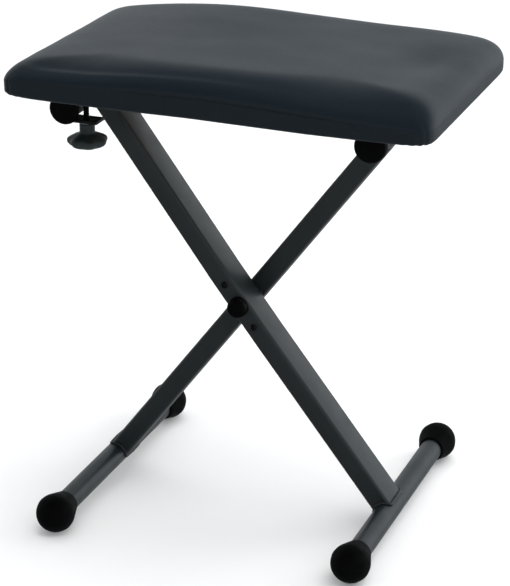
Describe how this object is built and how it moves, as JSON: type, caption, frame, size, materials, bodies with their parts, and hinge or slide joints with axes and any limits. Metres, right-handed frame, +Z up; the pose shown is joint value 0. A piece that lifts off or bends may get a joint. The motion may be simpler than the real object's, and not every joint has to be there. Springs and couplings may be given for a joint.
{
  "type": "folding bench",
  "caption": "Folding bench with a padded vinyl seat on a crossed pair of steel legs, ball-ended feet and a clamp knob that sets its height.",
  "frame": {"origin": "on the floor under the middle of the seat", "axes": "+X along the seat, +Y across it from front to rear, +Z up"},
  "size_m": [0.45, 0.3548, 0.5153],
  "materials": {
    "frame_paint": "satin charcoal powder coat",
    "foot_rubber": "matte moulded rubber",
    "cap_plastic": "satin moulded plastic",
    "black_nylon": "matte nylon",
    "black_steel": "black oxide",
    "zinc_plate": "bright zinc plate",
    "brass": "turned",
    "knob_plastic": "satin moulded plastic",
    "seat_vinyl": "smooth satin vinyl",
    "seat_foam": "open cell foam",
    "seat_board": "raw plywood"
  },
  "bodies": {
    "leg_b_frame": {"leg_b_tube": "frame_paint", "leg_b_foot_crossbar": "frame_paint", "leg_b_top_crossbar": "frame_paint", "foot_cap_left_front": "foot_rubber", "foot_cap_left_rear": "foot_rubber", "top_cap_right_front": "cap_plastic", "top_cap_right_rear": "cap_plastic", "leg_b_pivot_insert": "black_nylon", "leg_b_screw_upper": "black_steel", "leg_b_screw_lower": "black_steel", "pivot_bolt": "zinc_plate", "pivot_nut": "zinc_plate", "pivot_washer_front": "zinc_plate", "pivot_washer_rear": "zinc_plate", "pivot_spacer_washer": "black_nylon", "pivot_cap_front": "cap_plastic", "pivot_cap_rear": "cap_plastic"},
    "leg_a_frame": {"leg_a_tube": "frame_paint", "leg_a_foot_crossbar": "frame_paint", "leg_a_top_crossbar": "frame_paint", "foot_cap_right_front": "foot_rubber", "foot_cap_right_rear": "foot_rubber", "top_cap_left_front": "cap_plastic", "top_cap_left_rear": "cap_plastic", "leg_a_pivot_insert": "black_nylon", "leg_a_screw_upper": "black_steel", "leg_a_screw_lower": "black_steel"},
    "seat": {"hinge_saddle_front": "black_nylon", "hinge_saddle_rear": "black_nylon", "glide_rail_front": "black_nylon", "glide_rail_rear": "black_nylon", "clamp_stud": "black_steel", "rail_screw_front_inner": "black_steel", "rail_screw_front_outer": "black_steel", "rail_screw_rear_inner": "black_steel", "rail_screw_rear_outer": "black_steel", "strap_screw_front_inner": "black_steel", "strap_screw_front_outer": "black_steel", "strap_screw_rear_inner": "black_steel", "strap_screw_rear_outer": "black_steel", "hinge_strap_front": "zinc_plate", "hinge_strap_rear": "zinc_plate", "clamp_tee_nut": "zinc_plate", "seat_cover": "seat_vinyl", "seat_foam": "seat_foam", "seat_board": "seat_board"},
    "clamp": {"clamp_jaw": "black_steel", "clamp_washer": "zinc_plate"},
    "knob": {"clamp_knob": "knob_plastic", "knob_insert": "brass"}
  },
  "joints": [
    {"name": "leg_fold", "type": "hinge", "parent": "leg_b_frame", "child": "leg_a_frame", "pos_m": [-0.006, 0, 0.23565], "axis": [0, -1, 0], "range_deg": [0, 96]},
    {"name": "seat_hinge", "type": "hinge", "parent": "leg_b_frame", "child": "seat", "pos_m": [0.1572, 0, 0.4505], "axis": [0, -1, 0], "range_deg": [0, 48]},
    {"name": "clamp_slide", "type": "slide", "parent": "seat", "child": "clamp", "axis": [0, 0, -1], "range_m": [0, 0.003]},
    {"name": "knob_turn", "type": "hinge", "parent": "clamp", "child": "knob", "pos_m": [-0.1524, -0.088, 0.41], "axis": [0, 0, -1], "range_deg": [0, 1081]}
  ],
  "couplings": [
    {"joint": "seat_hinge", "follows": "leg_fold", "ratio": 0.5},
    {"joint": "knob_turn", "follows": "clamp_slide", "rad_per_m": 6283.2}
  ]
}
